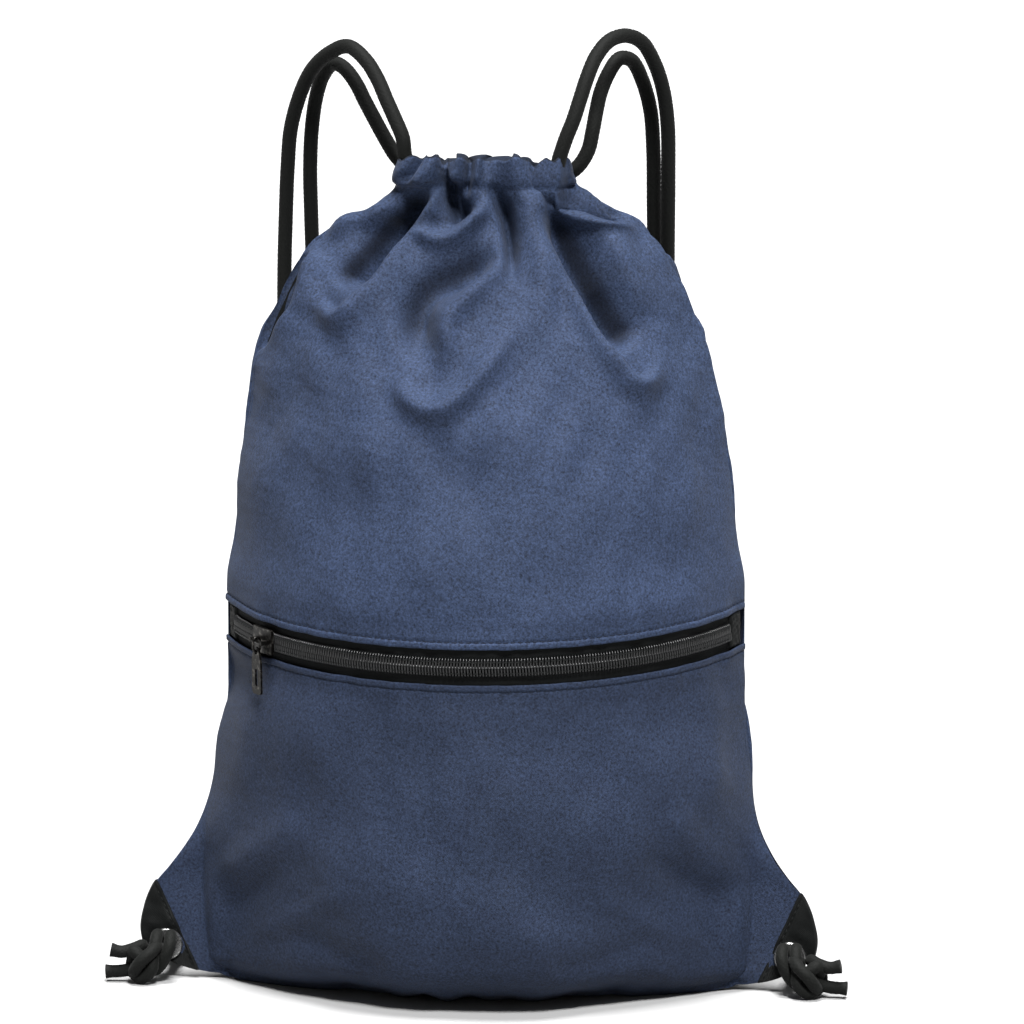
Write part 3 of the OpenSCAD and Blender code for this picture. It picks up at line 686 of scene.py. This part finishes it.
def panel(rows, relief, tilted, quiet):
    """Outer face of a panel with its folds; quiet is the share of its folds that each row has."""
    h, share = (np.array(c, float)[:, None] for c in zip(*rows))
    plain = bag_surface(U[None, :], h, share, tilted)
    normal = normals_of(plain)
    plain = plain + normal * CLOTH_T
    across, up = seen_at(plain) if tilted else (plain[..., 0], plain[..., 2])
    height = relief(across, up) * NEAR_SEAM * quiet[:, None]
    from_middle = np.abs(plain[..., 0] - settled(h))
    low = smooth((EAR_HEIGHT - h) / 30)
    height = height * (1 - 0.8 * low * smooth((from_middle - EAR_START + 10) / 14))
    height = height + 2.4 * low * smooth(h / 10) * np.exp(-((from_middle - EAR_START) / 5.5) ** 2)
    folded = plain + normal * height[..., None]
    folded[..., 1] = np.minimum(folded[..., 1], -np.minimum(MIN_DEPTH, -plain[..., 1]) * NEAR_SEAM)
    return folded, normal


def hem(grid, normal, first):
    """Turns a grid's first or last row in, as a folded edge."""
    edge, inside, out = (grid[0], grid[1], normal[0]) if first else (grid[-1], grid[-2], normal[-1])
    back = unit(inside - edge)
    rows = np.array([edge - out * inwards + back * reach for inwards, reach in HEM_TURN])
    return np.concatenate([rows[::-1], grid] if first else [grid, rows])


def hem_relief(distance):
    """The doubled cloth of a hem and the groove that its stitches pull, at a distance from the edge."""
    return 0.45 * smooth((3.4 - distance) / 1.2) - 0.55 * np.exp(-((distance - 3) / 0.55) ** 2)


def rows_from_base(*heights):
    """Rows of a panel that starts at the bottom seam, as heights and shares of the base's depth."""
    return [[0, share] for share in BASE_SHARES] + [[h, 1] for h in np.concatenate([BASE_STEPS, *heights])]


def zip_hem(grid, normal, distance):
    """The hem beside the zip: its doubled cloth, its groove of stitches and its puckers."""
    puckers = 0.35 * np.exp(-(distance / 9) ** 2)[:, None] * pucker(*seen_at(grid))
    return grid + normal * (hem_relief(distance)[:, None] + puckers)[..., None]


# The front cloth lies before the right cord where it leaves the channel: how far forward, from which height
# up and between which places across.
CORD_COVER_Y = -21
CORD_COVER_H = 384
CORD_COVER_X = (17, 41)


def add_front_upper():
    """The front above the zip, whose top rows are the face of the channel."""
    h = np.concatenate([ZIP_H + TAPE_SHOW - CLOTH_T + HEM_STEPS, np.linspace(194.5, NECK_H, 150),
                        np.linspace(NECK_H, FRONT_TOP, CHANNEL_ROWS)[1:]])
    distance = h - h[0]
    grid, normal = panel([[v, 1] for v in h], front_relief, True, smooth(distance / 16))
    grid = zip_hem(grid, normal, distance)
    x = grid[..., 0]
    across = smooth((x - CORD_COVER_X[0]) / 7) * smooth((CORD_COVER_X[1] - x) / 4)
    cover = smooth((h - CORD_COVER_H) / 6)[:, None] * across
    grid[..., 1] = mix(grid[..., 1], np.minimum(grid[..., 1], CORD_COVER_Y), cover)
    panel_grid = hem(grid[:-CHANNEL_ROWS + 1], normal, True)
    # the depth of each point in the neck's folds, stored for the painted shade
    obj = grid_mesh("front_upper_cloth", panel_grid, navy, painted_crease_shade=crease_shade_amount(panel_grid))
    finish_piece(obj, "bag", "body_cloth", "front_upper_panel")
    add_channel("front_casing_cloth", "front_casing", grid[-CHANNEL_ROWS:], 1, 60)
    return grid, normal


# Where the front edge of the base lifts off the floor, and how far.
LIFTS = [(-66, 3.2), (56, 3.6)]
LIFT_WIDTH = 24


def add_front_lower():
    """The front below the zip, with its share of the base."""
    top = ZIP_H - TAPE_SHOW - CLOTH_T
    rows = rows_from_base(np.linspace(6.2, 30, 20), np.linspace(31.6, 164, 86), top - HEM_STEPS[::-1])
    h = np.array([row[0] for row in rows])
    distance = top - h
    grid, normal = panel(rows, front_relief, True, smooth(distance / 16) * smooth(h / 10))
    across, _ = seen_at(grid)
    grid = zip_hem(grid, normal, distance)
    low = smooth(1 - grid[..., 2] / 22) * smooth((-grid[..., 1] - 12) / 25)
    lift = sum(height * np.exp(-((across - place) / LIFT_WIDTH) ** 2) for place, height in LIFTS)
    grid[..., 2] = np.maximum(0.1, grid[..., 2] + low * (lift + 0.7 * middling(across, 0)))
    # painted shade: the front below the zip takes the darker copy of the navy cloth
    obj = grid_mesh("front_lower_cloth", hem(grid, normal, False), painted_shade_navy)
    finish_piece(obj, "bag", "body_cloth", "front_lower_panel")
    return grid, normal


def add_back():
    """The back with its share of the base, whose top rows are the face of the channel."""
    rows = rows_from_base(np.linspace(6.2, 30, 18), np.linspace(32, NECK_H, 200),
                          np.linspace(NECK_H, BACK_TOP, CHANNEL_ROWS)[1:])
    grid, _ = panel(rows, back_relief, False, smooth(np.array([row[0] for row in rows]) / 12))
    grid = grid * np.array([1, -1, 1])
    grid[..., 2] = np.maximum(0.1, grid[..., 2])
    panel_grid = grid[:-CHANNEL_ROWS + 1]
    # the depth of each point in the neck's folds, stored for the painted shade
    obj = grid_mesh("back_cloth", panel_grid, navy, flip=True, painted_crease_shade=crease_shade_amount(panel_grid, -1))
    finish_piece(obj, "bag", "body_cloth", "back_panel")
    add_channel("back_casing_cloth", "back_casing", grid[-CHANNEL_ROWS:], -1, 36)


LINING_BEHIND = 16  # how far the pocket's lining lies behind the front cloth below the zip
LINING_ABOVE = 3.5  # and above it
LINING_SPREAD = 0.92  # its width as a share of the front cloth's


def add_lining():
    """The inner wall of the pocket, behind the folds and clear of the slider all along its run."""
    h = np.linspace(8, ZIP_H + 16, 60)[:, None]
    u = np.linspace(-0.82, 0.82, 60)[None, :]
    grid = bag_surface(u, h)
    behind = mix(LINING_BEHIND, LINING_ABOVE, smooth((h - ZIP_H + 2) / 18))
    grid[..., 0] *= LINING_SPREAD
    grid[..., 1] = np.minimum(grid[..., 1] + behind, -0.6)
    obj = grid_mesh("pocket_lining_cloth", grid, lining)
    finish_piece(obj, "bag", "lining_cloth", "pocket_lining")


def add_channel(name, node, grid, side, limit):
    """The channel for the cords on one face: the panel's cloth carried up, turned over and down inside."""
    grid = grid[:, np.abs(grid[0, :, 0]) <= limit].copy()
    x = grid[0, :, 0]
    share = np.linspace(0, 1, len(grid))[:, None]
    along = np.gradient(grid[-1, :, :2], axis=0)
    along = np.array([np.convolve(np.pad(c, 8, "edge"), np.ones(17) / 17, "valid") for c in along.T]).T
    out = np.zeros((len(x), 3))
    out[:, :2] = unit(np.stack([along[:, 1], -along[:, 0]], axis=1)) * side
    swell = 0.8 * np.sin(math.pi * share) - 0.5 * np.exp(-((share - 0.08) / 0.05) ** 2)
    grid += out[None] * swell[..., None]
    across, up = seen_at(grid[-1] * np.array([1, side, 1]))
    scallop = 0.35 * (front_relief(across, up) - 1) + 0.6 * small(x * side, 0 * x)
    scallop = scallop - 2.2 * smooth((np.abs(x) - 34) / 7)
    grid[..., 2] += scallop * smooth((share - 0.3) / 0.7)
    inside = mix(12, 1.3, smooth((np.abs(x) - 13) / 9))[:, None]  # how far inside the inner layer hangs
    rows = []
    for t in np.linspace(0.08, 1, 7):
        rise = 1.7 * math.sin(math.pi * min(1, 0.9 * t)) * np.minimum(1, inside / 3)
        rows.append(grid[-1] - out * inside * t + np.array([0, 0, 1]) * rise)
    lower = grid[-2::-1] - out * inside
    grid = np.concatenate([grid, np.array(rows), lower])
    painted_crease_shade = crease_shade_amount(grid, side)
    painted_crease_shade[-len(rows) - len(lower):] = 1  # the inner layer gets the full painted shade, as it lies in the dark of the neck
    finish_piece(grid_mesh(name, grid, navy, flip=side < 0, painted_crease_shade=painted_crease_shade), "bag", "body_cloth", node)


# ---------------------------------------------------------------- stitches

def add_stitches(name, lines, material, length=2.7, gap=0.8, radius=0.32):
    """Rows of thread sunk into the cloth; each line is its points and its outward normals."""
    parts = []
    for points, out in lines:
        reach = np.concatenate([[0], np.cumsum(np.linalg.norm(np.diff(points, axis=0), axis=1))])
        for start in np.arange(1, reach[-1] - length, length + gap):
            at = start + length * np.array([0, 0.12, 0.5, 0.88, 1])
            line = np.stack([np.interp(at, reach, points[:, k]) for k in range(3)], axis=1)
            face = unit(np.stack([np.interp(at, reach, out[:, k]) for k in range(3)], axis=1))
            line = line + face * np.array([-0.35, 0.02, 0.14, 0.02, -0.35])[:, None]
            parts.append(tube_parts(line, at, radius * np.array([0.6, 1, 1, 1, 0.6]), 6, relief=0))
    points, faces = joined(parts)
    return finish_piece(make_mesh(name, points, faces, material), "bag", "body_cloth")


# ---------------------------------------------------------------- zip

TRACK_D = ZIP_D - CLOTH_T
TRACK_R = ((ZIP_W - CLOTH_T) ** 2 + TRACK_D**2) / (2 * TRACK_D)
TAPE_OUT = TRACK_R - 0.8
SLIT = 0.6
TAPE_HALF = 12
TRACK_END = math.radians(69)
TEETH_END = math.radians(64)
TOOTH_PITCH = 1.42
# Across one half of the tape: how far out and how high each row lies.
TAPE_SHAPE = [
    (-0.8, SLIT + 0.3), (-0.3, SLIT), (0, SLIT + 0.3), (0, 2), (0, 4), (0.03, 6), (0.05, 7.5), (0.05, 9),
    (-0.05, 10.5), (-0.1, TAPE_HALF), (-0.8, TAPE_HALF)]
# Along one loop of the coil: its height, how far out it lies and its radius.
TOOTH_SHAPE = [
    (4.25, 0.35, 0.5), (4.1, 1.3, 0.52), (3.5, 1.95, 0.52), (2.2, 2.05, 0.5), (1, 2.05, 0.52),
    (0.1, 1.85, 0.6), (-0.35, 1.2, 0.62), (-0.2, 0.5, 0.5)]


def on_track(angle, radius, height):
    """Points of the zip's tilted arc, by angle from the middle, radius and height on the zip."""
    angle, radius, height = np.broadcast_arrays(angle, radius, height)
    x = radius * np.sin(angle)
    y = TRACK_R - TRACK_D - radius * np.cos(angle)
    return np.stack([x, y * math.cos(ZIP_TILT) - height * math.sin(ZIP_TILT),
                     ZIP_H + y * math.sin(ZIP_TILT) + height * math.cos(ZIP_TILT)], axis=-1)


def add_tape(name, side):
    """One half of the tape, which sways a little between the teeth and the cloth."""
    angle = np.linspace(-TRACK_END, TRACK_END, 260)
    sway = 0.12 * np.sin(angle * 21 + side) + 0.08 * np.sin(angle * 47)
    rows = []
    for out, height in TAPE_SHAPE:
        rows.append(on_track(angle, TAPE_OUT + out + sway * (height > 5) * (height < 9.5), side * height))
    obj = grid_mesh(name + "_weave", np.array(rows), tape_black, flip=side < 0)
    finish_piece(obj, "bag", "zip_tape", name)


def add_coil(name, side):
    """One row of coil teeth: a loop of nylon for each, with the thread that sews them to the tape."""
    count = int(2 * TEETH_END * TAPE_OUT / TOOTH_PITCH)
    parts = []
    for k in range(count):
        angle = -TEETH_END + (k + (0.5 if side < 0 else 0)) * 2 * TEETH_END / count
        line = np.array([on_track(angle + (0.28 - 0.07 * i) / TAPE_OUT, TAPE_OUT + out, side * height)
                         for i, (height, out, _) in enumerate(TOOTH_SHAPE)])
        radius = [r for _, _, r in TOOTH_SHAPE]
        parts.append(tube_parts(line, np.arange(len(line)), radius, 7, relief=0))
    points, faces = joined(parts)
    finish_piece(make_mesh(name + "_teeth", points, faces, teeth_black), "bag", "zip_teeth", name)
    angle = np.linspace(-TEETH_END, TEETH_END, 400)
    lines = [(on_track(angle, TAPE_OUT + 2.5, side * 2.7), on_track(angle, 1, 0) - on_track(angle, 0, 0))]
    add_stitches(name + "_thread", lines, black_thread, 1.9, 0.94, 0.3)


def add_end_tab(name, side):
    """The folded tab of cloth over one end of the zip."""
    angle = side * np.linspace(TEETH_END + 0.005, TRACK_END, 22)
    height = np.linspace(-TAPE_SHOW + 0.3, TAPE_SHOW - 0.3, 30)
    a, h = np.meshgrid(angle, height)
    edge = np.minimum(np.minimum(np.abs(a - angle[0]), np.abs(a - angle[-1])) * TAPE_OUT, 8.7 - np.abs(h))
    rise = 1.5 * np.sqrt(smooth(edge / 1.4)) + 0.12 * small(h * 3, a * 300)
    grid = on_track(a, TAPE_OUT + 0.05 + rise, h)
    obj = grid_mesh(name + "_cloth", grid, patch_black, flip=side < 0)
    finish_piece(obj, "bag", "zip_tape", name)


# ---------------------------------------------------------------- corners

PATCH_INNER = [[4, 137], [49, 157.5]]  # the patch's straight edge towards the bag
PATCH_STITCH = 2.2  # how far its stitches lie from that edge
HOLE_R = 5.2


def add_patch(name, side, face):
    """A black patch on one face of an ear, folded round its edge; returns its line of stitches."""
    h = np.linspace(3.2, 47.5, 56)
    share = np.linspace(0, 1, 36)
    edge = table_curve(LOW_WIDTHS, h) - CLOTH_T
    start = np.interp(h + 1, *zip(*PATCH_INNER))
    start = np.minimum(start, edge - 0.4)
    x = start[:, None] + (edge - start)[:, None] * share[None, :]
    u = side * np.arcsin(np.clip(x / edge[:, None], 0, 1)) / (math.pi / 2)
    grid = bag_surface(u, np.broadcast_to(h[:, None], x.shape), 1.0, True)
    from_edge = np.minimum(x - start[:, None], 6)
    rise = CLOTH_T + 0.15 + 1.0 * np.sqrt(smooth(from_edge / 0.9))
    rise = rise - 0.35 * np.exp(-((from_edge - PATCH_STITCH) / 0.6) ** 2)
    across, up = grid[..., 0], grid[..., 2]
    ring = np.hypot(np.abs(across + SETTLE) - EYELET_X, up - EYELET_Z)
    rise = rise + 0.35 * middling(across * 1.7, up * 1.7 + 40 * face) + 0.08 * small(across, up)
    rise = rise - 0.5 * np.exp(-((ring - 8) / 2.5) ** 2)
    grid[..., 1] = grid[..., 1] - rise
    wrap = grid[:, -1:].copy()
    wrap[..., 0] += side * 0.8
    wrap[..., 1] = -0.6
    seam = wrap.copy()
    seam[..., 0] += side * 0.2
    seam[..., 1] = 0
    grid = np.concatenate([grid, wrap, seam], axis=1)
    hole = np.hypot(np.abs(grid[..., 0] + SETTLE) - EYELET_X, grid[..., 2] - EYELET_Z)
    grid = grid * np.array([1, face, 1])
    rows, columns = grid.shape[:2]
    faces = grid_faces(rows, columns, flip=side * face < 0)
    hole = hole.ravel()
    faces = [f for f in faces if min(hole[i] for i in f) > HOLE_R]
    obj = make_mesh(name + "_cloth", grid, faces, patch_black, lengths_on(grid))
    finish_piece(obj, "bag", "patch_cloth", name)
    at = np.array([np.argmin(np.abs(row - (inner + PATCH_STITCH))) for row, inner in zip(x, start)])
    keep = (edge - start) > 5
    line = grid[np.arange(rows), at][keep]
    return line, np.tile([0, -face, 0], (len(line), 1)).astype(float)


# The knot's two strands in front of the right eyelet, and the band that wraps them; x runs outwards.
KNOT_STRANDS = [
    [[-1.5, 5, 3], [-2, -3, 4], [-3, -9.5, 5.5], [-3.2, -14, 2], [-1, -15, -4], [4, -12.5, -10.5],
     [11, -10, -10.5], [15, -13, -5], [14, -18, -0.5], [10, -19, -4], [13, -15, -9], [20, -13, -11.5],
     [28.5, -13.5, -12]],
    [[2.5, 5, -3], [3, -3, 2], [3.4, -9.5, 6], [3.6, -14.5, 3], [4.5, -16.5, -3], [5, -19, -9.5],
     [10, -18, -13.6], [15.5, -13, -11], [15, -9, -4], [11, -9.5, 0.5], [14, -14, 0], [20, -15.5, -1.5],
     [25.5, -16, -0.5]],
]
KNOT_BAND = [[6, -9, -1], [3, -14, 1.5], [5, -20, -0.5], [9.5, -22, -4.5], [13, -20, -9.5],
             [13.5, -14, -12.5], [10.5, -8, -10], [7, -7, -5]]
KNOT_R = 3.15


def add_knot(name, side):
    """The knot in front of an eyelet, with its two tails."""
    place = np.array([EYELET_X * side - SETTLE, 0, EYELET_Z])
    parts = []
    for line in [*KNOT_STRANDS, KNOT_BAND]:
        path, along = through(np.array(line, float) * np.array([side, 1, 1]) + place, 0.5)
        path[:, 2] = np.maximum(path[:, 2], KNOT_R - 0.05)
        tip = 1 + 0.12 * smooth((along - along[-1] + 3) / 3) * (line is not KNOT_BAND)
        parts.append(tube_parts(path, along, KNOT_R * tip, 36, relief=0.11))
    points, faces = joined(parts)
    finish_piece(make_mesh(name + "_braid", points, faces, cord_black), "bag", "cord_braid", name)


# ---------------------------------------------------------------- carried-over CAD pieces

CAD_LOOKS = {
    "side_binding_left": (tape_black, "binding_tape"),
    "side_binding_right": (tape_black, "binding_tape"),
    "bottom_binding": (tape_black, "binding_tape"),
    "slider_body": (slider_metal, "zip_metal"),
    "slider_bridge": (slider_metal, "zip_metal"),
    "pull_link": (slider_metal, "zip_metal"),
    "pull_tab": (slider_metal, "zip_metal"),
    "eyelet_left": (eyelet_metal, "eyelet_metal"),
    "eyelet_right": (eyelet_metal, "eyelet_metal"),
    "eyelet_washer_left": (eyelet_metal, "eyelet_metal"),
    "eyelet_washer_right": (eyelet_metal, "eyelet_metal"),
}
BEVELS = {"slider_body": 0.5, "slider_bridge": 0.35, "pull_tab": 0.3}


def dress_cad_nodes():
    """Materials and rounded edges for the CAD pieces that stay in sight."""
    for name, (material, slot) in CAD_LOOKS.items():
        node = nodes[name]
        node.data.materials.clear()
        node.data.materials.append(material)
    for name, width in BEVELS.items():
        bevel = nodes[name].modifiers.new("bevel", "BEVEL")
        bevel.width = width * MM
        bevel.segments = 3
        bevel.limit_method = "ANGLE"
        bevel.angle_limit = math.radians(35)


# ---------------------------------------------------------------- studio

# Each light's azimuth and elevation in degrees, its strength and its angle across in degrees.
LIGHTS = {"overhead": (0, 84, 8, 20), "key": (18, 52, 7, 12)}
SKY_STRENGTH = 0.2
FLOOR_TONE = 0.3
FLOOR_REACH = 20000


def add_studio():
    """A plain pale floor under two broad lights, with an even glow all round."""
    s = Shader("floor", {"Roughness": 0.9, "Base Color": (FLOOR_TONE, FLOOR_TONE, FLOOR_TONE, 1)})
    points = [[-FLOOR_REACH, -FLOOR_REACH, 0], [FLOOR_REACH, -FLOOR_REACH, 0],
              [FLOOR_REACH, FLOOR_REACH, 0], [-FLOOR_REACH, FLOOR_REACH, 0]]
    make_mesh("floor", points, [[0, 1, 2, 3]], s.material, shade_smooth=False)
    world = bpy.data.worlds.new("studio")
    bpy.context.scene.world = world
    world.use_nodes = True
    sky = world.node_tree.nodes["Background"]
    sky.inputs["Color"].default_value = (1, 1, 1, 1)
    sky.inputs["Strength"].default_value = SKY_STRENGTH
    for name, (azimuth, elevation, strength, width) in LIGHTS.items():
        data = bpy.data.lights.new(name, "SUN")
        data.energy = strength
        data.angle = math.radians(width)
        light = bpy.data.objects.new(name, data)
        bpy.context.scene.collection.objects.link(light)
        towards = look_from(math.radians(azimuth), math.radians(elevation))
        light.rotation_euler = towards.to_track_quat("Z", "Y").to_euler()
    bpy.context.scene.view_settings.view_transform = "Standard"


# ---------------------------------------------------------------- the scene

add_camera()
add_cords()
add_tunnel_cords()
upper, upper_out = add_front_upper()
lower, lower_out = add_front_lower()
add_back()
add_lining()
add_tape("zip_tape_upper", 1)
add_tape("zip_tape_lower", -1)
add_coil("zip_coil_upper", 1)
add_coil("zip_coil_lower", -1)
add_end_tab("zip_end_tab_left", -1)
add_end_tab("zip_end_tab_right", 1)
patch_lines = []
for where, face in (("front", 1), ("back", -1)):
    for hand, side in (("left", -1), ("right", 1)):
        patch_lines.append(add_patch(f"corner_patch_{where}_{hand}", side, face))
add_knot("knot_left", -1)
add_knot("knot_right", 1)
inset = 6  # the row of a panel that its hem's stitches follow
zip_lines = [(upper[inset], upper_out[inset]), (lower[-1 - inset], lower_out[-1 - inset])]
add_stitches("zip_stitches", zip_lines, navy_thread)
add_stitches("patch_stitches", patch_lines, black_thread)
dress_cad_nodes()
add_studio()
